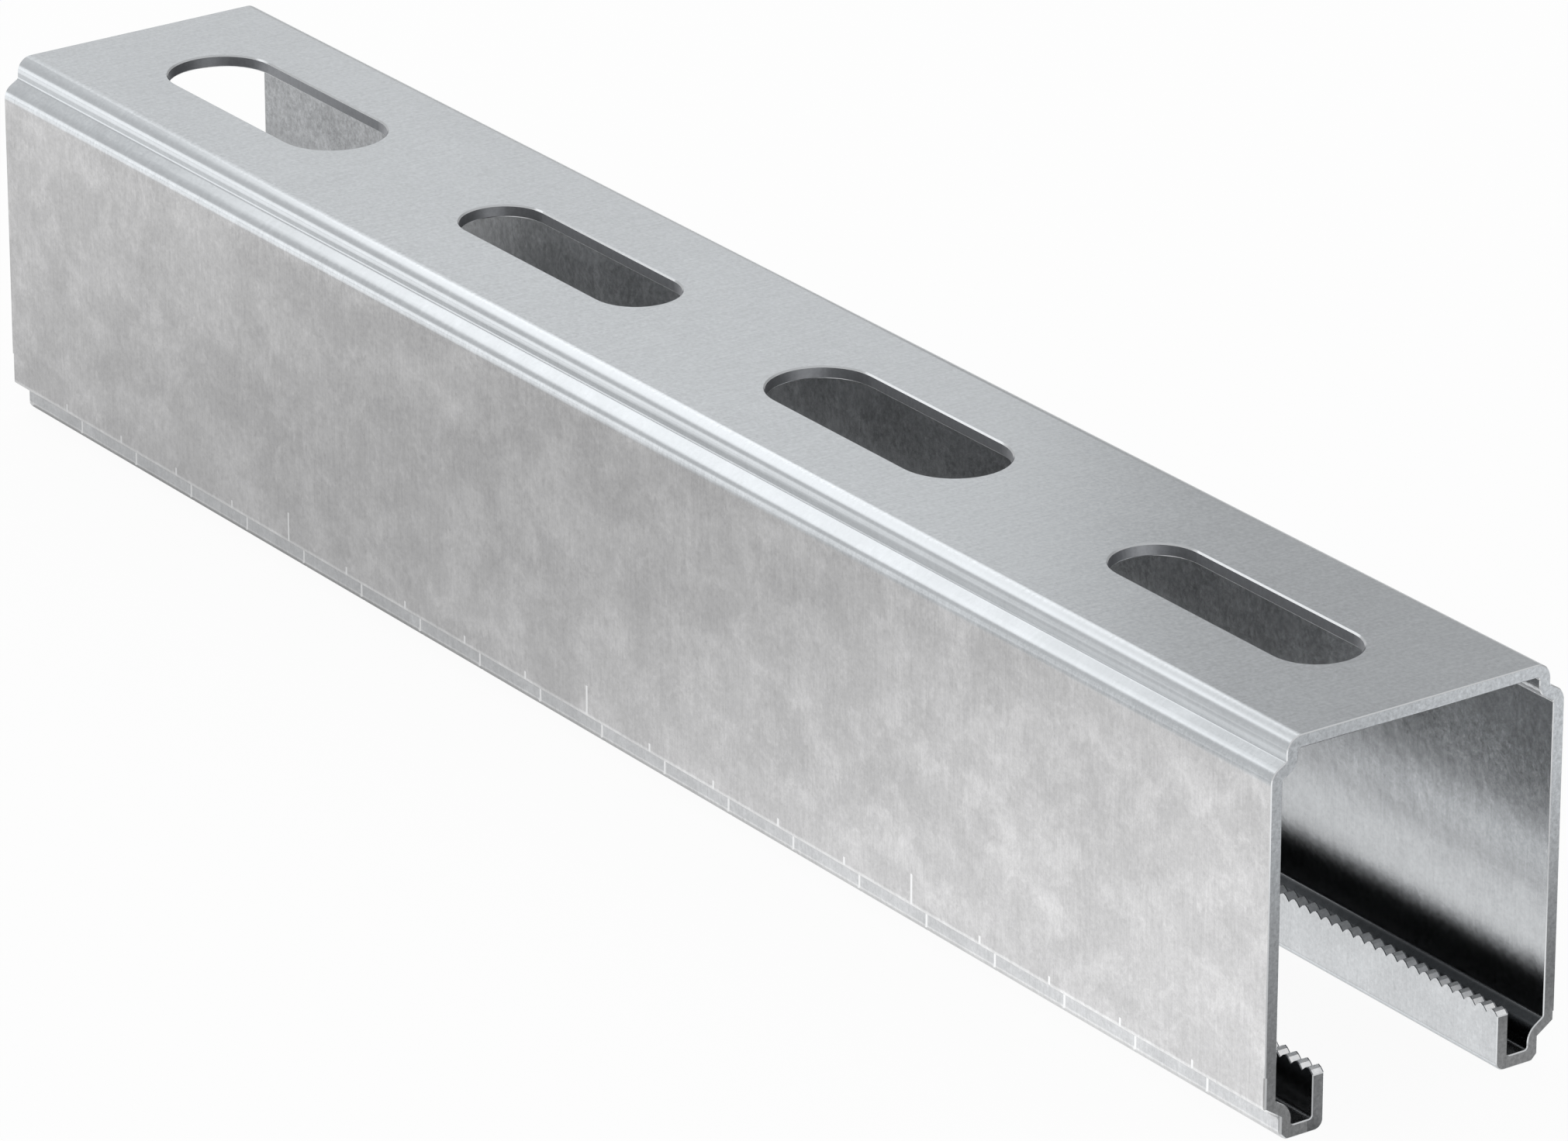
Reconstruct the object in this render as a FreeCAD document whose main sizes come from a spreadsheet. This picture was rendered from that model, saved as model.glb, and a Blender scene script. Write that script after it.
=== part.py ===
import FreeCAD, Part
import math
import os
import Sketcher

# Slotted strut channel: one cold-rolled strip of zinc-coated steel, 200 mm cut from a stock bar,
# with teeth along its lips and a centimetre scale engraved in its walls.
# Millimetres. X runs along the bar, Y across it, Z up. The bar lies on its two lips, open side
# down and slotted back up, with the origin on the floor under the middle of the bar.

doc = FreeCAD.newDocument("strut_channel")
sheet = doc.addObject("Spreadsheet::Sheet", "sizes")

# Driving sizes in millimetres: word alias, value, what it measures
driving_sizes = [
    ("length", 200.0, "length of the piece"),
    ("height", 36.5, "floor to the top of the back"),
    ("body_width", 30.8, "across the two walls, outside"),
    ("crown_step", 1.55, "the narrower back in from each wall"),
    ("foot_step", 1.65, "the outside of each lip in from its wall"),
    ("lip_width", 4.55, "each lip across, from its outside to the mouth"),
    ("wall_thickness", 1.2, "thickness of the strip"),
    ("crown_drop", 2.1, "back down to where each shoulder starts"),
    ("shoulder_drop", 3.0, "back down to the corner of each wall"),
    ("wall_foot", 3.2, "floor up to the bottom corner of each wall"),
    ("foot_rise", 2.1, "floor up to where each lip drops straight"),
    ("lip_height", 5.6, "floor up to the tips of the lip teeth"),
    ("bend_radius", 0.3, "inside radius of the rolled bends"),
    ("foot_bend_radius", 0.6, "inside radius of the bend above each lip"),
    ("foot_corner_radius", 0.5, "outside radius of the wall's bottom corner"),
    ("lip_corner_radius", 0.9, "outside radius of the lip's bottom corners"),
    ("cut_edge", 0.1, "bevel of the edges at the two cut ends"),
    ("slot_length", 30.0, "slot from end to end"),
    ("wide_slot_width", 10.4, "first, third and every second slot across"),
    ("narrow_slot_width", 8.4, "the slots between them across"),
    ("slot_pitch", 50.0, "from one slot to the next"),
    ("slot_end_distance", 25.0, "first slot's centre from the end"),
    ("slot_rim", 0.15, "bevel that the punch left along the slots' rims"),
    ("mark_pitch", 10.0, "from one mark of the scale to the next"),
    ("long_mark_pitch", 50.0, "from one long mark to the next"),
    ("mark_width", 0.5, "groove of a mark across"),
    ("mark_depth", 0.2, "groove of a mark into the strip"),
    ("short_mark_top", 4.1, "floor up to the tops of the short marks"),
    ("long_mark_top", 6.2, "floor up to the tops of the long marks"),
    ("tooth_pitch", 1.5, "from one lip tooth to the next"),
    ("tooth_depth", 0.55, "depth of the notch between two teeth"),
    ("notch_width", 0.84, "steep part of a notch across"),
    ("crest_drop", 0.15, "tip of a tooth down to where its steep flanks start"),
]
for row, (alias, value, note) in enumerate(driving_sizes, start=1):
    sheet.set(f"A{row}", note)
    sheet.set(f"B{row}", str(value))
    sheet.setAlias(f"B{row}", alias)
doc.recompute()


def size(alias):
    """The sheet's number behind an alias."""
    return float(sheet.get(alias))


body = doc.addObject("PartDesign::Body", "channel")
body.Label = "channel"


def origin_plane(role):
    return next(item for item in body.Origin.OriginFeatures if item.Role == role)


def new_sketch(name, role):
    sketch = body.newObject("Sketcher::SketchObject", name)
    sketch.AttachmentSupport = [(origin_plane(role), "")]
    sketch.MapMode = "FlatFace"
    return sketch


def bind(sketch, name, expression):
    """Name the constraint made last and tie it to the sheet."""
    index = sketch.ConstraintCount - 1
    sketch.renameConstraint(index, name)
    sketch.setExpression(f"Constraints.{name}", expression)


# The strip's section as sharp corners, right half first: across the bar, then up
half_body = size("body_width") / 2
half_crown = half_body - size("crown_step")
half_foot = half_body - size("foot_step")
half_mouth = half_foot - size("lip_width")
strip = size("wall_thickness")
top = size("height")


def offset_line(start, end, distance):
    """The line start-end moved sideways, to the left of its direction."""
    run = FreeCAD.Vector(end[0] - start[0], end[1] - start[1], 0)
    side = FreeCAD.Vector(-run.y, run.x, 0).normalize() * distance
    return FreeCAD.Vector(start[0], start[1], 0) + side, run


def height_at(line, across):
    """How high a sloping line is at a distance across."""
    point, run = line
    return point.y + run.y * (across - point.x) / run.x


shoulder_start = (half_crown, top - size("crown_drop"))
shoulder_end = (half_body, top - size("shoulder_drop"))
foot_start = (half_body, size("wall_foot"))
foot_end = (half_foot, size("foot_rise"))
under_shoulder = offset_line(shoulder_end, shoulder_start, strip)
over_foot = offset_line(foot_end, foot_start, strip)

corners = {
    "crown_out": (half_crown, top),
    "shoulder_start_out": shoulder_start,
    "shoulder_end_out": shoulder_end,
    "foot_start_out": foot_start,
    "foot_end_out": foot_end,
    "heel_out": (half_foot, 0.0),
    "toe_out": (half_mouth, 0.0),
    "tip_out": (half_mouth, size("lip_height")),
    "tip_in": (half_mouth + strip, size("lip_height")),
    "toe_in": (half_mouth + strip, strip),
    "heel_in": (half_foot - strip, strip),
    "foot_end_in": (half_foot - strip, height_at(over_foot, half_foot - strip)),
    "foot_start_in": (half_body - strip, height_at(over_foot, half_body - strip)),
    "shoulder_end_in": (half_body - strip, height_at(under_shoulder, half_body - strip)),
    "shoulder_start_in": (half_crown - strip, height_at(under_shoulder, half_crown - strip)),
    "crown_in": (half_crown - strip, top - strip),
}
order = list(corners)
points = [corners[name] for name in order]
points += [(-across, up) for across, up in reversed(points)]

section = new_sketch("section", "YZ_Plane")
for start, end in zip(points, points[1:] + points[:1]):
    section.addGeometry(Part.LineSegment(FreeCAD.Vector(*start, 0), FreeCAD.Vector(*end, 0)), False)
line_count = len(points)
for line in range(line_count):
    following = (line + 1) % line_count
    section.addConstraint(Sketcher.Constraint("Coincident", line, 2, following, 1))


def line_from(name):
    """The line that starts at a corner of the right half."""
    return order.index(name)


for name in ("crown_out", "shoulder_end_out", "foot_end_out", "toe_out",
             "tip_in", "heel_in", "foot_start_in", "shoulder_start_in"):
    section.addConstraint(Sketcher.Constraint("Vertical", line_from(name)))
for name in ("heel_out", "tip_out", "toe_in"):
    section.addConstraint(Sketcher.Constraint("Horizontal", line_from(name)))
for index in range(len(order)):
    twin = line_count - 1 - index
    section.addConstraint(Sketcher.Constraint("Symmetric", index, 1, twin, 1, -2))

origin_point = (-1, 1)
across_sizes = [
    ("half_body", origin_point, "shoulder_end_out", "sizes.body_width / 2"),
    ("crown_step", "crown_out", "shoulder_end_out", "sizes.crown_step"),
    ("foot_step", "foot_end_out", "foot_start_out", "sizes.foot_step"),
    ("lip_width", "toe_out", "heel_out", "sizes.lip_width"),
    ("crown_side", "crown_in", "crown_out", "sizes.wall_thickness"),
    ("wall_side", "foot_start_in", "foot_start_out", "sizes.wall_thickness"),
    ("foot_side", "heel_in", "heel_out", "sizes.wall_thickness"),
    ("lip_side", "tip_out", "tip_in", "sizes.wall_thickness"),
]
upright_sizes = [
    ("back_top", origin_point, "crown_out", "sizes.height"),
    ("shoulder_top", "shoulder_start_out", "crown_out", "sizes.crown_drop"),
    ("shoulder_foot", "shoulder_end_out", "crown_out", "sizes.shoulder_drop"),
    ("wall_bottom", origin_point, "foot_start_out", "sizes.wall_foot"),
    ("lip_start", origin_point, "foot_end_out", "sizes.foot_rise"),
    ("lip_top", origin_point, "tip_out", "sizes.lip_height"),
    ("back_strip", "crown_in", "crown_out", "sizes.wall_thickness"),
    ("floor_strip", "heel_out", "heel_in", "sizes.wall_thickness"),
]


def corner_of(place):
    return place if isinstance(place, tuple) else (line_from(place), 1)


def corner_place(place):
    return (0.0, 0.0) if isinstance(place, tuple) else corners[place]


for kind, table, axis in (("DistanceX", across_sizes, 0), ("DistanceY", upright_sizes, 1)):
    for name, start, end, expression in table:
        value = corner_place(end)[axis] - corner_place(start)[axis]
        section.addConstraint(Sketcher.Constraint(kind, *corner_of(start), *corner_of(end), value))
        bind(section, name, expression)
section.addConstraint(Sketcher.Constraint("PointOnObject", line_from("heel_out"), 1, -1))
for name, outer, inner in (("shoulder_strip", "shoulder_start_out", "shoulder_end_in"),
                           ("foot_strip", "foot_start_out", "foot_end_in")):
    section.addConstraint(Sketcher.Constraint("Parallel", line_from(outer), line_from(inner)))
    section.addConstraint(Sketcher.Constraint("Distance", line_from(inner), 1, line_from(outer), strip))
    bind(section, name, "sizes.wall_thickness")

strip_pad = body.newObject("PartDesign::Pad", "strip")
strip_pad.Profile = section
strip_pad.SideType = "Symmetric"
strip_pad.setExpression("Length", "sizes.length")
doc.recompute()

tolerance = 1e-4


def edges_where(shape, fits):
    """Edges whose two ends both fit."""
    return [f"Edge{number}" for number, edge in enumerate(shape.Edges, start=1)
            if fits(edge.Vertexes[0].Point) and fits(edge.Vertexes[-1].Point)]


def bend_edges(shape, names):
    """Edges along the bar at the named corners, on both sides."""
    places = [corners[name] for name in names]
    found = []
    for number, edge in enumerate(shape.Edges, start=1):
        first, last = edge.Vertexes[0].Point, edge.Vertexes[-1].Point
        along = abs(first.x - last.x) > size("length") - tolerance
        straight = abs(first.y - last.y) < tolerance and abs(first.z - last.z) < tolerance
        if along and straight and any(abs(abs(first.y) - across) < tolerance and abs(first.z - up) < tolerance
                                      for across, up in places):
            found.append(f"Edge{number}")
    return found


def round_bends(name, base, names, radius):
    """Roll the named corners to a radius from the sheet."""
    edges = bend_edges(base.Shape, names)
    assert len(edges) == 2 * len(names), (name, edges)
    rounding = body.newObject("PartDesign::Fillet", name)
    rounding.Base = (base, edges)
    rounding.setExpression("Radius", radius)
    doc.recompute()
    return rounding


bends = strip_pad
for name, names, radius in (
        ("inside_bends",
         ("crown_in", "shoulder_start_out", "shoulder_end_in", "foot_start_in", "heel_in", "toe_in"),
         "sizes.bend_radius"),
        ("outside_bends", ("crown_out", "shoulder_start_in", "shoulder_end_out"),
         "sizes.bend_radius + sizes.wall_thickness"),
        ("foot_inside_bends", ("foot_end_out",), "sizes.foot_bend_radius"),
        ("foot_outside_bends", ("foot_end_in",), "sizes.foot_bend_radius + sizes.wall_thickness"),
        ("foot_corners", ("foot_start_out",), "sizes.foot_corner_radius"),
        ("lip_corners", ("heel_out", "toe_out"), "sizes.lip_corner_radius")):
    bends = round_bends(name, bends, names, radius)

# Both cut ends have their edges taken off, all the way round
half_length = size("length") / 2
end_edges = [name for end in (-half_length, half_length)
             for name in edges_where(bends.Shape, lambda point: abs(point.x - end) < tolerance)]
cut_edges = body.newObject("PartDesign::Chamfer", "cut_edges")
cut_edges.Base = (bends, end_edges)
cut_edges.setExpression("Size", "sizes.cut_edge")
doc.recompute()


def repeat_along(name, feature, pitch, count, backwards=False):
    """Copies of a cut along the bar."""
    pattern = body.newObject("PartDesign::LinearPattern", name)
    pattern.Originals = [feature]
    pattern.Direction = (origin_plane("X_Axis"), [""])
    pattern.Reversed = backwards
    pattern.Mode = "Spacing"
    pattern.setExpression("Offset", pitch)
    pattern.setExpression("Occurrences", count)
    body.Tip = pattern
    doc.recompute()
    return pattern


def slot_row(name, width, first_centre):
    """Every second slot of the row through the back, rounded at both ends."""
    outline = new_sketch(f"{name}_outline", "XY_Plane")
    outline.setExpression("AttachmentOffset.Base.x", f"{first_centre} - sizes.length / 2")
    outline.setExpression("AttachmentOffset.Base.z", "sizes.height")
    radius = size(width) / 2
    reach = size("slot_length") / 2 - radius
    right_top = FreeCAD.Vector(reach, radius, 0)
    left_top = FreeCAD.Vector(-reach, radius, 0)
    right_bottom = FreeCAD.Vector(reach, -radius, 0)
    left_bottom = FreeCAD.Vector(-reach, -radius, 0)
    outline.addGeometry(Part.LineSegment(left_top, right_top), False)
    outline.addGeometry(Part.LineSegment(right_bottom, left_bottom), False)
    outline.addGeometry(Part.Arc(right_bottom, FreeCAD.Vector(reach + radius, 0, 0), right_top), False)
    outline.addGeometry(Part.Arc(left_top, FreeCAD.Vector(-reach - radius, 0, 0), left_bottom), False)
    far_side, near_side, right_end, left_end = range(4)
    for tangent in ((far_side, 2, right_end, 2), (near_side, 1, right_end, 1),
                    (near_side, 2, left_end, 2), (far_side, 1, left_end, 1)):
        outline.addConstraint(Sketcher.Constraint("Tangent", *tangent))
    outline.addConstraint(Sketcher.Constraint("Equal", right_end, left_end))
    outline.addConstraint(Sketcher.Constraint("Symmetric", left_end, 3, right_end, 3, -2))
    outline.addConstraint(Sketcher.Constraint("PointOnObject", right_end, 3, -1))
    outline.addConstraint(Sketcher.Constraint("Radius", right_end, radius))
    bind(outline, "end_radius", f"sizes.{width} / 2")
    outline.addConstraint(Sketcher.Constraint("DistanceX", left_end, 3, right_end, 3, 2 * reach))
    bind(outline, "between_ends", f"sizes.slot_length - sizes.{width}")

    first_slot = body.newObject("PartDesign::Pocket", f"first_{name}")
    first_slot.Profile = outline
    first_slot.setExpression("Length", "2 * sizes.wall_thickness")
    count = f"floor((sizes.length - sizes.slot_end_distance - ({first_centre})) / (2 * sizes.slot_pitch)) + 1"
    return repeat_along(f"{name}s", first_slot, "2 * sizes.slot_pitch", count)


# The slots take turns: a wide one, then a narrow one
slot_row("wide_slot", "wide_slot_width", "sizes.slot_end_distance")
slots = slot_row("narrow_slot", "narrow_slot_width", "sizes.slot_end_distance + sizes.slot_pitch")

# The punch drew each rim down where it went in, and the edge where it came out is eased like the cut ends
slot_side = max(size("wide_slot_width"), size("narrow_slot_width")) / 2 + tolerance


def rim_at(level):
    """Tests whether a point lies on a slot's edge at a level."""
    return lambda point: abs(point.z - level) < tolerance and abs(point.y) < slot_side


rims = slots
for name, level, bevel in (("slot_rims", top, "sizes.slot_rim"),
                           ("slot_under_rims", top - strip, "sizes.cut_edge")):
    easing = body.newObject("PartDesign::Chamfer", name)
    easing.Base = (rims, edges_where(rims.Shape, rim_at(level)))
    easing.setExpression("Size", bevel)
    doc.recompute()
    rims = easing


# How far out the outside of each lip is
foot_out = "(sizes.body_width / 2 - sizes.foot_step)"


def mark_path(name, side):
    """What a mark follows down one wall, over its foot and down the lip to the bottom corner."""
    easing = "sizes.lip_corner_radius * (2 - sqrt(2))"
    eased = size("lip_corner_radius") * (2 - math.sqrt(2))
    stops = (
        ("top", half_body, "sizes.body_width / 2", size("short_mark_top"), "sizes.short_mark_top"),
        ("wall_foot", half_body, "sizes.body_width / 2", size("wall_foot"), "sizes.wall_foot"),
        ("foot_rise", half_foot, foot_out, size("foot_rise"), "sizes.foot_rise"),
        ("band_foot", half_foot, foot_out, eased, easing),
        ("underside", half_foot - eased, f"{foot_out} - {easing}", 0.0, None))
    path = new_sketch(name, "YZ_Plane")
    path.setExpression("AttachmentOffset.Base.z", "-sizes.length / 2")
    places = [FreeCAD.Vector(side * across, up, 0) for _, across, _, up, _ in stops]
    for start, end in zip(places, places[1:]):
        path.addGeometry(Part.LineSegment(start, end), False)
    for number in range(1, len(stops) - 1):
        path.addConstraint(Sketcher.Constraint("Coincident", number - 1, 2, number, 1))
    for number, (place, across, across_size, up, up_size) in enumerate(stops):
        stop = (number, 1) if number < len(stops) - 1 else (number - 1, 2)
        ends = (*stop, *origin_point) if side < 0 else (*origin_point, *stop)
        path.addConstraint(Sketcher.Constraint("DistanceX", *ends, across))
        bind(path, f"{place}_across", across_size)
        if up_size is None:
            path.addConstraint(Sketcher.Constraint("PointOnObject", *stop, -1))
        else:
            path.addConstraint(Sketcher.Constraint("DistanceY", *origin_point, *stop, up))
            bind(path, f"{place}_up", up_size)
    return path


def mark_groove(name, side):
    """The V that a mark cuts into one wall, seen from above at the top of the short marks."""
    groove = new_sketch(name, "XY_Plane")
    groove.setExpression("AttachmentOffset.Base.x", "-sizes.length / 2")
    groove.setExpression("AttachmentOffset.Base.y", f"{side} * sizes.body_width / 2")
    groove.setExpression("AttachmentOffset.Base.z", "sizes.short_mark_top")
    depth = size("mark_depth")
    half_spread = size("mark_width")
    bottom = FreeCAD.Vector(0, -side * depth, 0)
    left_brim = FreeCAD.Vector(-half_spread, side * depth, 0)
    right_brim = FreeCAD.Vector(half_spread, side * depth, 0)
    for start, end in ((bottom, right_brim), (right_brim, left_brim), (left_brim, bottom)):
        groove.addGeometry(Part.LineSegment(start, end), False)
    for line in range(3):
        groove.addConstraint(Sketcher.Constraint("Coincident", line, 2, (line + 1) % 3, 1))
    groove.addConstraint(Sketcher.Constraint("PointOnObject", 0, 1, -2))
    groove.addConstraint(Sketcher.Constraint("Symmetric", 1, 1, 1, 2, -2))
    lower, upper = ((0, 1), (1, 1))[::side]
    groove.addConstraint(Sketcher.Constraint("DistanceY", *origin_point, *upper, depth))
    bind(groove, "above", "sizes.mark_depth")
    groove.addConstraint(Sketcher.Constraint("DistanceY", *lower, *origin_point, depth))
    bind(groove, "below", "sizes.mark_depth")
    groove.addConstraint(Sketcher.Constraint("DistanceX", 1, 2, 1, 1, 2 * half_spread))
    bind(groove, "spread", "2 * sizes.mark_width")
    return groove


# The scale engraved in both walls, a mark in each end plane; the near wall has longer ones among them
marks = rims
for wall_name, side in (("near", -1), ("far", 1)):
    first_mark = body.newObject("PartDesign::SubtractivePipe", f"first_{wall_name}_mark")
    first_mark.Profile = mark_groove(f"{wall_name}_mark_groove", side)
    first_mark.Spine = mark_path(f"{wall_name}_mark_path", side)
    first_mark.Transition = "Right corner"
    marks = repeat_along(f"{wall_name}_marks", first_mark, "sizes.mark_pitch",
                         "floor(sizes.length / sizes.mark_pitch) + 1")
first_long_mark = body.newObject("PartDesign::Pocket", "first_long_mark")
first_long_mark.Profile = doc.getObject("near_mark_groove")
first_long_mark.Reversed = True
first_long_mark.setExpression("Length", "sizes.long_mark_top - sizes.short_mark_top")
marks = repeat_along("long_marks", first_long_mark, "sizes.long_mark_pitch",
                     "floor(sizes.length / sizes.long_mark_pitch) + 1")

# Teeth along the top of both lips: notches cut straight across, one in the end plane. A notch is steep at
# its floor and eases off towards the tips, so the teeth between them are blunt.
notch_outline = new_sketch("notch_outline", "XZ_Plane")
notch_outline.setExpression("AttachmentOffset.Base.x", "sizes.length / 2")
tips_up = size("lip_height")
floor_up = tips_up - size("tooth_depth")
flank_up = tips_up - size("crest_drop")
half_notch = size("notch_width") / 2
half_pitch = size("tooth_pitch") / 2
notch_corners = [FreeCAD.Vector(*place, 0) for place in (
    (0.0, floor_up), (half_notch, flank_up), (half_pitch, tips_up),
    (-half_pitch, tips_up), (-half_notch, flank_up))]
for start, end in zip(notch_corners, notch_corners[1:] + notch_corners[:1]):
    notch_outline.addGeometry(Part.LineSegment(start, end), False)
corner_count = len(notch_corners)
for line in range(corner_count):
    following = (line + 1) % corner_count
    notch_outline.addConstraint(Sketcher.Constraint("Coincident", line, 2, following, 1))
floor_corner, right_flank, right_tip, left_tip, left_flank = [(line, 1) for line in range(corner_count)]
notch_outline.addConstraint(Sketcher.Constraint("PointOnObject", *floor_corner, -2))
notch_outline.addConstraint(Sketcher.Constraint("Symmetric", *right_flank, *left_flank, -2))
notch_outline.addConstraint(Sketcher.Constraint("Symmetric", *right_tip, *left_tip, -2))
for kind, name, start, end, value, expression in (
        ("DistanceY", "notch_floor", origin_point, floor_corner, floor_up,
         "sizes.lip_height - sizes.tooth_depth"),
        ("DistanceY", "flank_top", origin_point, right_flank, flank_up,
         "sizes.lip_height - sizes.crest_drop"),
        ("DistanceY", "tips", origin_point, right_tip, tips_up, "sizes.lip_height"),
        ("DistanceX", "flank_to_flank", left_flank, right_flank, 2 * half_notch, "sizes.notch_width"),
        ("DistanceX", "tip_to_tip", left_tip, right_tip, 2 * half_pitch, "sizes.tooth_pitch")):
    notch_outline.addConstraint(Sketcher.Constraint(kind, *start, *end, value))
    bind(notch_outline, name, expression)

first_notch = body.newObject("PartDesign::Pocket", "first_notch")
first_notch.Profile = notch_outline
first_notch.SideType = "Symmetric"
first_notch.setExpression("Length", f"2 * ({foot_out} - sizes.lip_width + 2 * sizes.wall_thickness)")
notches = repeat_along("notches", first_notch, "sizes.tooth_pitch",
                       "floor(sizes.length / sizes.tooth_pitch) + 1", backwards=True)

# Every object has to be sound before anything is written
for item in doc.Objects:
    faults = {"Invalid", "Error"} & set(item.State)
    if faults:
        raise RuntimeError(f"{item.Name} failed: {sorted(faults)}")
pieces = [body]
for piece in pieces:
    if piece.Shape.isNull() or not piece.Shape.isValid():
        raise RuntimeError(f"{piece.Label} has no sound shape")
stages = [strip_pad, cut_edges, slots, rims, marks, notches]
for before, after in zip(stages, stages[1:]):
    if not before.Shape.Volume > after.Shape.Volume:
        raise RuntimeError(f"{after.Name} removed nothing")

os.makedirs("parts", exist_ok=True)
for piece in pieces:
    piece.Shape.exportStep(f"parts/{piece.Label}.step")
    box = piece.Shape.BoundBox
    print(f"{piece.Label}: {len(piece.Shape.Solids)} solid, {piece.Shape.Volume:.1f} mm3, "
          f"{len(piece.Shape.Faces)} faces, box {box.XLength:.2f} x {box.YLength:.2f} x {box.ZLength:.2f}")
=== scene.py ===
import math
import bpy
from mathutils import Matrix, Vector

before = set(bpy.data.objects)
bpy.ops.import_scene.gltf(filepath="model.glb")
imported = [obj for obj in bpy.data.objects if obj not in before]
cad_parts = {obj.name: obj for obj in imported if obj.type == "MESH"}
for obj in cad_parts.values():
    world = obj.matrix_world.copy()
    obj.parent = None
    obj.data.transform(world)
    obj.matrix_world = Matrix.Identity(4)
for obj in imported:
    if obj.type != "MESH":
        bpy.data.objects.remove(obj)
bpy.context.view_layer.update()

scene = bpy.context.scene
mm = 0.001
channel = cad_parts["channel"]
print("frame loaded")


# Short ways to add nodes: an input is a number, a colour or another node's output
def setInput(tree, socket, value):
    if isinstance(value, bpy.types.NodeSocket):
        tree.links.new(value, socket)
    else:
        socket.default_value = value


def addNode(tree, kind, inputs=None, **settings):
    node = tree.nodes.new(kind)
    for name, value in settings.items():
        setattr(node, name, value)
    for name, value in (inputs or {}).items():
        setInput(tree, node.inputs[name], value)
    return node


def maths(tree, operation, *values):
    node = tree.nodes.new("ShaderNodeMath")
    node.operation = operation
    for socket, value in zip(node.inputs, values):
        setInput(tree, socket, value)
    return node.outputs[0]


def product(tree, first, *others):
    for value in others:
        first = maths(tree, "MULTIPLY", first, value)
    return first


def total(tree, first, *others):
    for value in others:
        first = maths(tree, "ADD", first, value)
    return first


def inverse(tree, mask):
    return maths(tree, "SUBTRACT", 1.0, mask)


def above(tree, value, limit):
    return maths(tree, "GREATER_THAN", value, limit)


def below(tree, value, limit):
    return maths(tree, "LESS_THAN", value, limit)


# One inside a span, zero outside it
def between(tree, value, span):
    return product(tree, above(tree, value, span[0]), below(tree, value, span[1]))


# From one level to the other as the value crosses a span
def ramp(tree, value, span, levels, **settings):
    return addNode(tree, "ShaderNodeMapRange", inputs={
        "Value": value, "From Min": span[0], "From Max": span[1],
        "To Min": levels[0], "To Max": levels[1]}, **settings).outputs[0]


def softStep(tree, value, span, levels=(0.0, 1.0)):
    return ramp(tree, value, span, levels, interpolation_type="SMOOTHSTEP")


def mixColour(tree, factor, first, second, blend="MIX"):
    node = addNode(tree, "ShaderNodeMix", data_type="RGBA", blend_type=blend,
                   inputs={0: factor, 6: first, 7: second})
    return node.outputs[2]


def mixNumber(tree, factor, first, second):
    return addNode(tree, "ShaderNodeMix", inputs={0: factor, 2: first, 3: second}).outputs[0]


# Noise from -1 to 1; stretch gives features per millimetre along X, Y and Z
def noise(tree, place, stretch, detail=2.0, roughness=0.5, distortion=0.0):
    scaled = addNode(tree, "ShaderNodeVectorMath", operation="MULTIPLY",
                     inputs={0: place, 1: stretch}).outputs[0]
    texture = addNode(tree, "ShaderNodeTexNoise", inputs={
        "Vector": scaled, "Scale": 1.0, "Detail": detail, "Roughness": roughness,
        "Distortion": distortion}).outputs[0]
    return ramp(tree, texture, (0.25, 0.75), (-1.0, 1.0), clamp=False)


# A place turned into millimetres, and its parts: along the bar, across it and up
def splitPlace(tree, place):
    scaled = addNode(tree, "ShaderNodeVectorMath", operation="SCALE",
                     inputs={0: place, "Scale": 1 / mm}).outputs[0]
    return scaled, addNode(tree, "ShaderNodeSeparateXYZ", inputs={0: scaled}).outputs


# Camera: where the photograph was taken from, in millimetres and degrees
cameraView = {
    "place": (679.48, -471.81, 360.61),
    "azimuth": 54.861,
    "elevation": 22.752,
    "lens": 227.2,
    "sensor": 36.0,
    "near": 10.0,
    "far": 20000.0,
}


def buildCamera():
    azimuth = math.radians(cameraView["azimuth"])
    elevation = math.radians(cameraView["elevation"])
    lookAlong = Vector((-math.sin(azimuth) * math.cos(elevation),
                        math.cos(azimuth) * math.cos(elevation), -math.sin(elevation)))
    camera = bpy.data.objects.new("camera", bpy.data.cameras.new("camera"))
    camera.data.sensor_width = cameraView["sensor"]
    camera.data.lens = cameraView["lens"]
    camera.data.clip_start = cameraView["near"] * mm
    camera.data.clip_end = cameraView["far"] * mm
    camera.location = Vector(cameraView["place"]) * mm
    camera.rotation_mode = "QUATERNION"
    camera.rotation_quaternion = lookAlong.to_track_quat("-Z", "Y")
    scene.collection.objects.link(camera)
    scene.camera = camera


buildCamera()
print("camera placed")


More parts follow.
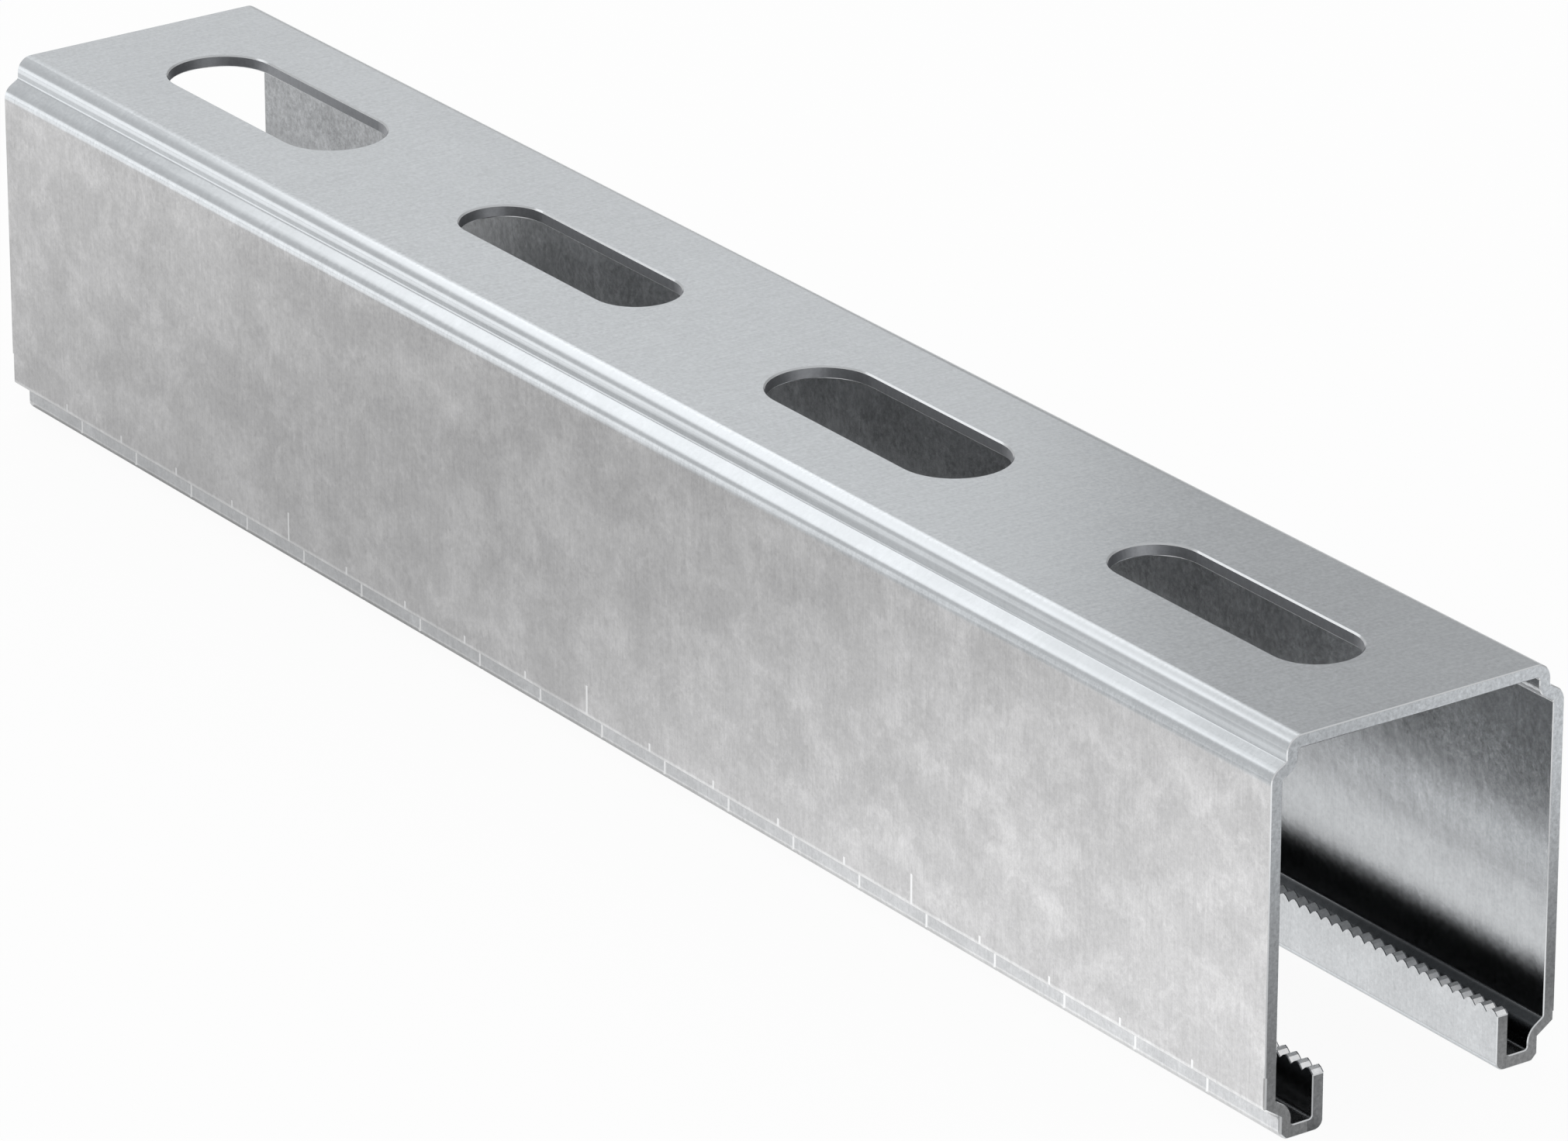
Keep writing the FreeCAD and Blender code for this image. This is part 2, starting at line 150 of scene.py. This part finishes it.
# Where the strip's faces are, in millimetres: along and across count from the middle of the bar,
# up from the floor. Spans end a hair off the faces that they take in or leave out.
strip = {
    "faces": {  # a fade goes from full to nothing upwards
        "cutEnd": {"along": (99.905, 101.0)},
        "cutFace": {"along": (99.99, 101.0)},
        "slotWall": {"along": (-1.0, 99.905), "across": (-1.0, 5.4), "up": (35.4, 36.35)},
        "slotRim": {"along": (-1.0, 99.905), "across": (-1.0, 5.4), "up": (36.35, 36.49)},
        "slotUnderRim": {"along": (-1.0, 99.905), "across": (-1.0, 5.4), "up": (35.31, 35.4)},
        "mouth": {"across": (-1.0, 9.22), "up": (-1.0, 5.7)},
        "trough": {"across": (10.38, 13.0), "up": (-1.0, 5.05)},
        "ledgeShade": {"across": (12.4, 20.0), "fade": (3.6, 4.0)},
        "teeth": {"along": (-1.0, 99.905), "across": (9.22, 10.38), "up": (5.03, 5.7)},
        "toothMiddle": {"across": (9.3, 10.28)},
        "shoulder": {"along": (-1.0, 99.905), "across": (12.6, 20.0), "up": (33.3, 36.4)},
        "wallBend": {"across": (14.9, 20.0), "fade": (3.4, 3.6)},
        "footBend": {"across": (13.1, 20.0), "fade": (0.8, 1.0)},
        "marked": {"along": (-1.0, 99.905), "across": (12.8, 20.0)},
    },
    # The middle of the sheet parts inside from outside: heights, then how far out it is there
    "sheetFoot": ((2.1, 3.9), (13.15, 14.8)),
    "sheetCrown": ((32.9, 34.4), (14.8, 13.25)),
    "insideUp": (1.15, 35.35),
    "markPitch": 10.0,
    "markHalf": 0.15,
    "markTop": 4.1,
    "longMarkPitch": 50.0,
    "longMarkTop": 6.2,
    "longMarkReach": 1.0,  # a mark this near to a long one's place is long
}

# Zinc coat: satin, with frosty patches and smudges on the walls, hairlines and fine grain
zincCoat = {
    "colour": {
        "back": (0.575, 0.6, 0.622, 1.0),
        "wall": (0.606, 0.604, 0.608, 1.0),
        # The inside and the trough are darker than the outer coat: painted shade in the channel's
        # hollow.
        "inside": (0.385, 0.395, 0.405, 1.0),
        "trough": (0.4, 0.405, 0.41, 1.0),
        # The ledge low on the inner wall is near black: painted shade beside the trough.
        "ledgeShade": (0.07, 0.075, 0.08, 1.0),
        "slotWall": (0.37, 0.38, 0.4, 1.0),
        "teeth": (0.95, 0.965, 0.98, 1.0),
        # The teeth's front and back edges are dark: painted shade outlining each tooth.
        "toothEdgeShade": (0.2, 0.205, 0.22, 1.0),
        # The outer bends at the foot are lighter: a painted highlight along them.
        "bendHighlight": (0.8, 0.805, 0.81, 1.0),
        # The cut face carries painted shade: darker towards its foot and its near side, lighter
        # again on the lips' soles.
        "cutTop": (0.445, 0.465, 0.485, 1.0),
        "cutFootShaded": (0.2, 0.205, 0.21, 1.0),
        "cutSole": (0.34, 0.345, 0.35, 1.0),
        # The bevels at the cut edges are light: a painted highlight along them.
        "cutBevelHighlight": (0.72, 0.735, 0.75, 1.0),
        "slotRim": (0.56, 0.575, 0.59, 1.0),
        # The slot walls' lower edge is light: a painted highlight along it.
        "slotUnderRim": (0.7, 0.715, 0.73, 1.0),
        "marks": (0.87, 0.875, 0.88, 1.0),
    },
    "roughness": {
        "coat": 0.2,
        "frost": 0.015,  # rougher by this much where the coat is frosty
        "inside": 0.24,
        "grain": 0.03,
        "cutFace": 0.4,
        "slotWall": 0.52,
        "teeth": 0.36,
    },
    "pattern": {  # how much each one lightens or darkens the coat
        "frost": 0.06,
        "smudge": 0.09,
        "hairline": 0.05,
        "grain": 0.12,
        "cutGrain": 0.32,
    },
    "share": {  # how much of a pattern shows; a pair is low down and under the back
        "patchesOnBack": 0.2,
        "patchesOnShoulder": 0.35,
        "patchesInside": (0.55, 1.1),
        "grainInside": (1.4, 3.0),
        "grainOnShoulder": 0.4,
        "hairlineOnShoulder": 0.3,
        "bendHighlight": 0.8,
    },
    "relief": {
        "depth": 0.006 * mm,
        "hairline": 0.08,
        "grain": 0.14,
        "wave": 0.8,
        "ripple": 1.0,
    },
    "wallStart": (13.2, 14.2),  # out from the middle
    "wallTop": (32.4, 32.9),
    "patchTop": (32.2, 33.4),
    "underBack": (22.0, 26.0),
    # Painted shade on the cut face: darker low down and on the near side, lighter on the lips'
    # soles.
    "cutRiseShade": (4.0, 32.0),  # the cut face goes from its foot colour to its top colour
    "cutSoleTop": (1.0, 7.5),
    "cutSoleStart": 10.9,
    "cutLeanShade": ((-14.0, 12.0), (0.88, 1.08)),  # across the cut face, darker to lighter
    # Painted light and shade inside, lighter near the open end and darker further in: from start
    # to stop along the bar and from low to high up the wall. One that ends past the metal runs
    # right up to its edge.
    "insideLightAndShade": [
        {"change": 0.5, "start": (60.0, 85.0), "stop": (110.0, 120.0),
         "low": (15.5, 19.0), "high": (24.0, 31.5)},
        {"change": -0.2, "start": (-72.0, -62.0), "stop": (62.0, 74.0),
         "low": (20.0, 24.0), "high": (40.0, 41.0)},
        {"change": -0.17, "start": (-72.0, -62.0), "stop": (-52.0, -40.0),
         "low": (20.0, 24.0), "high": (40.0, 41.0)},
    ],
    "noise": {
        "feather": {"stretch": (1.4, 0.3, 0.3)},
        "patches": {"stretch": (0.07, 0.085, 0.09), "detail": 9.0, "roughness": 0.7,
                    "distortion": 0.3},
        "smears": {"stretch": (0.2, 0.22, 0.24), "detail": 9.0, "roughness": 0.76,
                   "distortion": 0.4},
        "hairline": {"stretch": (5.0, 0.24, 0.24), "roughness": 0.6},
        "grain": {"stretch": (2.5, 2.5, 2.5), "detail": 3.0, "roughness": 0.8},
        "wave": {"stretch": (0.07, 0.07, 0.07), "detail": 1.0},
        "ripple": {"stretch": (0.6, 0.35, 0.35), "detail": 1.0},
    },
    "featherReach": (0.0, 0.4, 0.45),  # how far the edges of patches are drawn out
    "frostStep": ((-0.5, 0.7), (-1.1, 1.1)),
    "smudgeStep": ((-0.35, 0.8), (-0.8, 1.6)),
}


def faceMask(tree, places, name):
    parts = []
    for way, span in strip["faces"][name].items():
        if way == "fade":
            parts.append(softStep(tree, places["up"], span, (1.0, 0.0)))
        else:
            parts.append(between(tree, places[way], span))
    return product(tree, *parts)


# Masks for the strip's faces, one on each face and zero off it
def findFaces(tree, along, across, up):
    places = {"along": maths(tree, "ABSOLUTE", along), "across": maths(tree, "ABSOLUTE", across),
              "up": up}
    sideways = places["across"]
    masks = {name: faceMask(tree, places, name) for name in strip["faces"]}
    sheet = maths(tree, "MINIMUM", ramp(tree, up, *strip["sheetFoot"]),
                  ramp(tree, up, *strip["sheetCrown"]))
    inside = product(tree, below(tree, sideways, sheet), between(tree, up, strip["insideUp"]))
    inside = maths(tree, "MAXIMUM", inside, masks["mouth"])
    outside = inverse(tree, inside)
    masks["inside"] = inside
    masks["trough"] = product(tree, inside, masks["trough"])
    masks["ledgeShade"] = product(tree, inside, masks["ledgeShade"])
    masks["toothEdgeShade"] = product(tree, masks["teeth"], inverse(tree, masks["toothMiddle"]))
    masks["shoulder"] = product(tree, outside, masks["shoulder"])
    masks["cutBevelHighlight"] = maths(tree, "SUBTRACT", masks["cutEnd"], masks["cutFace"])
    bends = maths(tree, "MAXIMUM", masks["wallBend"], masks["footBend"])
    # A painted highlight on the outer bends at the foot
    masks["bendHighlight"] = product(tree, bends, outside, zincCoat["share"]["bendHighlight"])
    masks["beside"] = softStep(tree, sideways, zincCoat["wallStart"])
    masks["wall"] = product(tree, masks["beside"],
                            softStep(tree, up, zincCoat["wallTop"], (1.0, 0.0)))
    masks["patchy"] = product(tree, masks["beside"], outside)
    masks["sole"] = product(tree, softStep(tree, up, zincCoat["cutSoleTop"], (1.0, 0.0)),
                            maths(tree, "MAXIMUM", above(tree, sideways, zincCoat["cutSoleStart"]),
                                  above(tree, across, 0.0)))

    # Marks of the scale: burnished grooves, with longer ones among those of the near wall
    fromMark = maths(tree, "PINGPONG", along, strip["markPitch"] / 2)
    fromLongMark = maths(tree, "PINGPONG", along, strip["longMarkPitch"] / 2)
    longMark = product(tree, below(tree, fromLongMark, strip["longMarkReach"]),
                       below(tree, across, 0.0))
    markTop = mixNumber(tree, longMark, strip["markTop"], strip["longMarkTop"])
    masks["marks"] = product(tree, below(tree, fromMark, strip["markHalf"]),
                             below(tree, up, markTop), outside, masks["marked"])
    return masks


# Patterns of the coat, each around zero
def layPatterns(tree, place):
    noises = zincCoat["noise"]
    feather = noise(tree, place, **noises["feather"])
    reach = addNode(tree, "ShaderNodeVectorMath", operation="SCALE",
                    inputs={0: zincCoat["featherReach"], "Scale": feather}).outputs[0]
    feathered = addNode(tree, "ShaderNodeVectorMath", operation="ADD",
                        inputs={0: place, 1: reach}).outputs[0]
    patterns = {name: noise(tree, place, **noises[name])
                for name in ("hairline", "grain", "wave", "ripple")}
    patches = noise(tree, feathered, **noises["patches"])
    patterns["frost"] = softStep(tree, patches, *zincCoat["frostStep"])
    smears = noise(tree, feathered, **noises["smears"])
    patterns["smudge"] = softStep(tree, smears, *zincCoat["smudgeStep"])
    return patterns


# How much of each pattern shows: strong patches on the walls, faint ones elsewhere
def sharePatterns(tree, masks, up):
    share = zincCoat["share"]
    inside, shoulder = masks["inside"], masks["shoulder"]
    underBack = softStep(tree, up, zincCoat["underBack"])
    patches = product(tree, mixNumber(tree, masks["patchy"], share["patchesOnBack"], 1.0),
                      softStep(tree, up, zincCoat["patchTop"], (1.0, share["patchesOnShoulder"])))
    patches = mixNumber(tree, inside, patches,
                        mixNumber(tree, underBack, *share["patchesInside"]))
    grain = mixNumber(tree, inside, 1.0, mixNumber(tree, underBack, *share["grainInside"]))
    return {
        "frost": patches,
        "smudge": patches,
        "hairline": mixNumber(tree, shoulder, 1.0, share["hairlineOnShoulder"]),
        "grain": mixNumber(tree, shoulder, grain, share["grainOnShoulder"]),
    }


# The inside's darker colour, with painted light near the open end and painted shade further in
def paintInsideLightAndShade(tree, along, up):
    tone = 1.0
    for stretch in zincCoat["insideLightAndShade"]:
        change = product(tree, softStep(tree, along, stretch["start"], (0.0, stretch["change"])),
                         softStep(tree, along, stretch["stop"], (1.0, 0.0)),
                         softStep(tree, up, stretch["low"]),
                         softStep(tree, up, stretch["high"], (1.0, 0.0)))
        tone = total(tree, tone, change)
    return mixColour(tree, 1.0, zincCoat["colour"]["inside"], tone, blend="MULTIPLY")


# The cut face's colour: real grain over painted shade that darkens towards the foot and the near
# side
def colourCut(tree, masks, grain, across, up):
    colour = zincCoat["colour"]
    cut = mixColour(tree, softStep(tree, up, zincCoat["cutRiseShade"]), colour["cutFootShaded"],
                    colour["cutTop"])
    cut = mixColour(tree, masks["sole"], cut, colour["cutSole"])
    level = total(tree, 1.0, product(tree, grain, zincCoat["pattern"]["cutGrain"]))
    level = product(tree, level, softStep(tree, across, *zincCoat["cutLeanShade"]))
    return mixColour(tree, 1.0, cut, level, blend="MULTIPLY")


def buildZincCoat():
    material = bpy.data.materials.new("zincCoat")
    material.use_nodes = True
    tree = material.node_tree
    shader = tree.nodes["Principled BSDF"]
    shader.inputs["Metallic"].default_value = 1.0

    coordinates = tree.nodes.new("ShaderNodeTexCoord").outputs["Object"]
    place, (along, across, up) = splitPlace(tree, coordinates)
    masks = findFaces(tree, along, across, up)
    patterns = layPatterns(tree, place)
    shares = sharePatterns(tree, masks, up)

    colour = zincCoat["colour"]
    coat = mixColour(tree, masks["wall"], colour["back"], colour["wall"])
    coat = mixColour(tree, masks["inside"], coat, paintInsideLightAndShade(tree, along, up))
    for name in ("trough", "ledgeShade", "slotWall", "teeth", "toothEdgeShade", "bendHighlight"):
        coat = mixColour(tree, masks[name], coat, colour[name])
    level = total(tree, 1.0, *(product(tree, patterns[name], zincCoat["pattern"][name], share)
                               for name, share in shares.items()))
    coat = mixColour(tree, 1.0, coat, level, blend="MULTIPLY")
    coat = mixColour(tree, masks["cutFace"], coat,
                     colourCut(tree, masks, patterns["grain"], across, up))
    for name in ("slotRim", "slotUnderRim", "cutBevelHighlight", "marks"):
        coat = mixColour(tree, masks[name], coat, colour[name])
    setInput(tree, shader.inputs["Base Color"], coat)

    rough = zincCoat["roughness"]
    roughness = total(tree, rough["coat"], product(tree, patterns["frost"], rough["frost"]))
    roughness = mixNumber(tree, masks["inside"], roughness, rough["inside"])
    roughness = total(tree, roughness, product(tree, patterns["grain"], rough["grain"]))
    for name in ("cutFace", "slotWall", "teeth"):
        roughness = mixNumber(tree, masks[name], roughness, rough[name])
    setInput(tree, shader.inputs["Roughness"], roughness)

    # Relief: hairlines and grain, a slow wave that bends the highlights, and ripples inside
    relief = zincCoat["relief"]
    height = total(
        tree,
        product(tree, patterns["hairline"], relief["hairline"], shares["hairline"]),
        product(tree, patterns["grain"], relief["grain"], shares["grain"]),
        product(tree, patterns["wave"], relief["wave"]),
        product(tree, patterns["ripple"], relief["ripple"], masks["inside"]))
    bump = addNode(tree, "ShaderNodeBump", inputs={
        "Strength": 1.0, "Distance": relief["depth"], "Height": height})
    setInput(tree, shader.inputs["Normal"], bump.outputs[0])
    return material


channel.data.materials.clear()
channel.data.materials.append(buildZincCoat())
print("zinc coat done")


# Studio: a pale floor that the metal sees brighter in front and behind, and a pale world.
# Places are in millimetres.
studio = {
    "floorHalf": 4000.0,
    "floorDrop": 0.02,
    "floorColour": (0.9, 0.9, 0.9, 1.0),
    "floorWhite": 0.94,  # how much of the floor is plain white to the camera and the metal
    "floorGlow": 0.67,
    "front": {"glow": 0.52, "along": (-55.0, 80.0)},
    "back": {"glow": 0.25, "along": (-170.0, -70.0)},
    "patch": {"glow": 0.5, "middle": (-300.0, -60.0, 0.0), "radius": (110.0, 300.0),
              "across": (-90.0, -70.0)},
    "under": {"glow": 0.5, "across": (8.0, 9.6)},
    # Painted shadow in the floor's glow along the lips and before the open end
    "contactShadow": {"glow": -0.35, "inner": (8.0, 9.6), "outer": (13.7, 14.7),
                "along": (-100.0, 100.0)},
    "endShadow": {"glow": -0.6, "middle": (105.0, -10.0, 0.0), "radius": (20.0, 75.0),
                "along": 100.0},
    "worldLevels": (0.75, 0.8),
    "worldRise": (math.sin(math.radians(45)), math.sin(math.radians(70))),
    "behind": {"glow": -0.22, "away": (0.2, 0.5), "rise": (0.4, 0.65)},
}


# One for the listed kinds of ray, zero for others
def rayMask(tree, *kinds):
    path = tree.nodes.new("ShaderNodeLightPath")
    mask = path.outputs[kinds[0]]
    for kind in kinds[1:]:
        mask = maths(tree, "MAXIMUM", mask, path.outputs[kind])
    return mask


# White for the camera, the given level for everything else
def whiteToCamera(tree, level):
    return mixNumber(tree, rayMask(tree, "Is Camera Ray"), level, 1.0)


def distance(tree, place, middle):
    return addNode(tree, "ShaderNodeVectorMath", operation="DISTANCE",
                   inputs={0: place, 1: middle}).outputs["Value"]


# What the metal sees of the floor from place to place: painted pools of light in front, behind, at
# a patch and under the mouth, and painted shadow along the lips and before the open end
def floorGlow(tree):
    position = tree.nodes.new("ShaderNodeNewGeometry").outputs["Position"]
    place, (along, across, _) = splitPlace(tree, position)
    sideways = maths(tree, "ABSOLUTE", across)
    front, back, patch = studio["front"], studio["back"], studio["patch"]
    under, contactShadow, endShadow = studio["under"], studio["contactShadow"], studio["endShadow"]
    return total(
        tree, studio["floorGlow"],
        softStep(tree, along, front["along"], (0.0, front["glow"])),
        softStep(tree, along, back["along"], (back["glow"], 0.0)),
        product(tree, softStep(tree, distance(tree, place, patch["middle"]), patch["radius"],
                               (patch["glow"], 0.0)),
                softStep(tree, across, patch["across"], (1.0, 0.0))),
        softStep(tree, sideways, under["across"], (under["glow"], 0.0)),
        product(tree, between(tree, along, contactShadow["along"]),
                softStep(tree, sideways, contactShadow["inner"], (0.0, contactShadow["glow"])),
                softStep(tree, sideways, contactShadow["outer"], (1.0, 0.0))),
        product(tree, softStep(tree, distance(tree, place, endShadow["middle"]), endShadow["radius"],
                               (endShadow["glow"], 0.0)),
                above(tree, along, endShadow["along"])))


def buildFloor():
    half = studio["floorHalf"] * mm
    drop = -studio["floorDrop"] * mm
    mesh = bpy.data.meshes.new("floor")
    mesh.from_pydata([(-half, -half, drop), (half, -half, drop), (half, half, drop),
                      (-half, half, drop)], [], [(0, 1, 2, 3)])
    floor = bpy.data.objects.new("floor", mesh)
    scene.collection.objects.link(floor)
    material = bpy.data.materials.new("paleFloor")
    material.use_nodes = True
    tree = material.node_tree
    tree.nodes.clear()
    output = tree.nodes.new("ShaderNodeOutputMaterial")
    diffuse = addNode(tree, "ShaderNodeBsdfDiffuse", inputs={"Color": studio["floorColour"]})
    light = addNode(tree, "ShaderNodeEmission", inputs={
        "Color": (1, 1, 1, 1), "Strength": whiteToCamera(tree, floorGlow(tree))})
    share = product(tree, rayMask(tree, "Is Camera Ray", "Is Glossy Ray", "Is Transmission Ray"),
                    studio["floorWhite"])
    mix = addNode(tree, "ShaderNodeMixShader",
                  inputs={0: share, 1: diffuse.outputs[0], 2: light.outputs[0]})
    setInput(tree, output.inputs["Surface"], mix.outputs[0])
    mesh.materials.append(material)


def buildWorld():
    world = bpy.data.worlds.new("studio")
    scene.world = world
    world.use_nodes = True
    tree = world.node_tree
    tree.nodes.clear()
    output = tree.nodes.new("ShaderNodeOutputWorld")
    direction = tree.nodes.new("ShaderNodeTexCoord").outputs["Generated"]
    _, away, rise = addNode(tree, "ShaderNodeSeparateXYZ", inputs={0: direction}).outputs
    behind = studio["behind"]
    level = total(tree, softStep(tree, rise, studio["worldRise"], studio["worldLevels"]),
                  product(tree, softStep(tree, away, behind["away"], (0.0, behind["glow"])),
                          softStep(tree, rise, behind["rise"], (1.0, 0.0))))
    background = addNode(tree, "ShaderNodeBackground", inputs={
        "Color": (1, 1, 1, 1), "Strength": whiteToCamera(tree, level)})
    setInput(tree, output.inputs["Surface"], background.outputs[0])


# Soft panels: middle, size across and up, and the place that each faces, in millimetres
panels = {
    "highPanel": {"middle": (-350, -45, 350), "size": (510, 190), "faces": (0, -45, 350),
                  "radiance": 0.85},
    "sidePanel": {"middle": (-350, 235, 365), "size": (50, 110), "faces": (0, 235, 365),
                  "radiance": 0.9},
    "lowPanel": {"middle": (-600, -330, 80), "size": (380, 150), "faces": (0, -15, 30),
                 "radiance": 0.75},
    "backPanel": {"middle": (-345, 155, 192), "size": (240, 200), "faces": (0, 0, 36),
                  "radiance": 0.3},
}


def buildPanel(name, panel):
    light = bpy.data.lights.new(name, "AREA")
    light.shape = "RECTANGLE"
    light.size, light.size_y = (side * mm for side in panel["size"])
    light.energy = panel["radiance"] * math.pi * light.size * light.size_y
    lamp = bpy.data.objects.new(name, light)
    middle = Vector(panel["middle"]) * mm
    lamp.location = middle
    lamp.rotation_mode = "QUATERNION"
    lamp.rotation_quaternion = (Vector(panel["faces"]) * mm - middle).to_track_quat("-Z", "Y")
    scene.collection.objects.link(lamp)


buildFloor()
buildWorld()
for name, panel in panels.items():
    buildPanel(name, panel)
scene.view_settings.view_transform = "Standard"
print("studio built")
